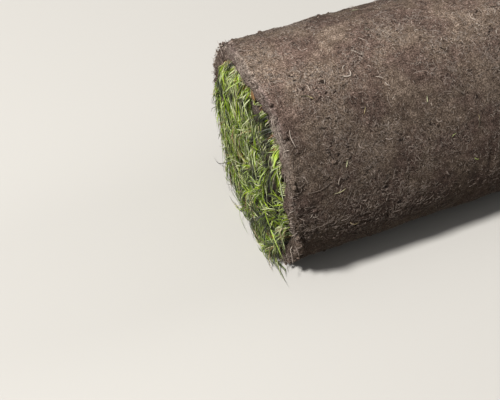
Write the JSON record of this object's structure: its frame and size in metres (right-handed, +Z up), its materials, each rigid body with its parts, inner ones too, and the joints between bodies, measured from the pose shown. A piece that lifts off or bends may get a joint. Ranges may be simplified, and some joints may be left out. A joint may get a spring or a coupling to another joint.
{
  "type": "roll of turf",
  "caption": "Strip of lawn turf cut with its soil and roots, wound up with the grass inside, lying on its side on its own tucked-under end.",
  "frame": {"origin": "bottom centre of the roll's box: the middle of its length, on the floor", "axes": "+X along the roll, +Z up, -Y towards the side whose bottom edge holds the tucked-under end"},
  "size_m": [0.61, 0.2554, 0.2454],
  "materials": {
    "soil": "matte soil felted with fine roots",
    "grass": "mown lawn grass, satin blades"
  },
  "bodies": {
    "root": {"turf_roll": "soil"}
  },
  "joints": []
}
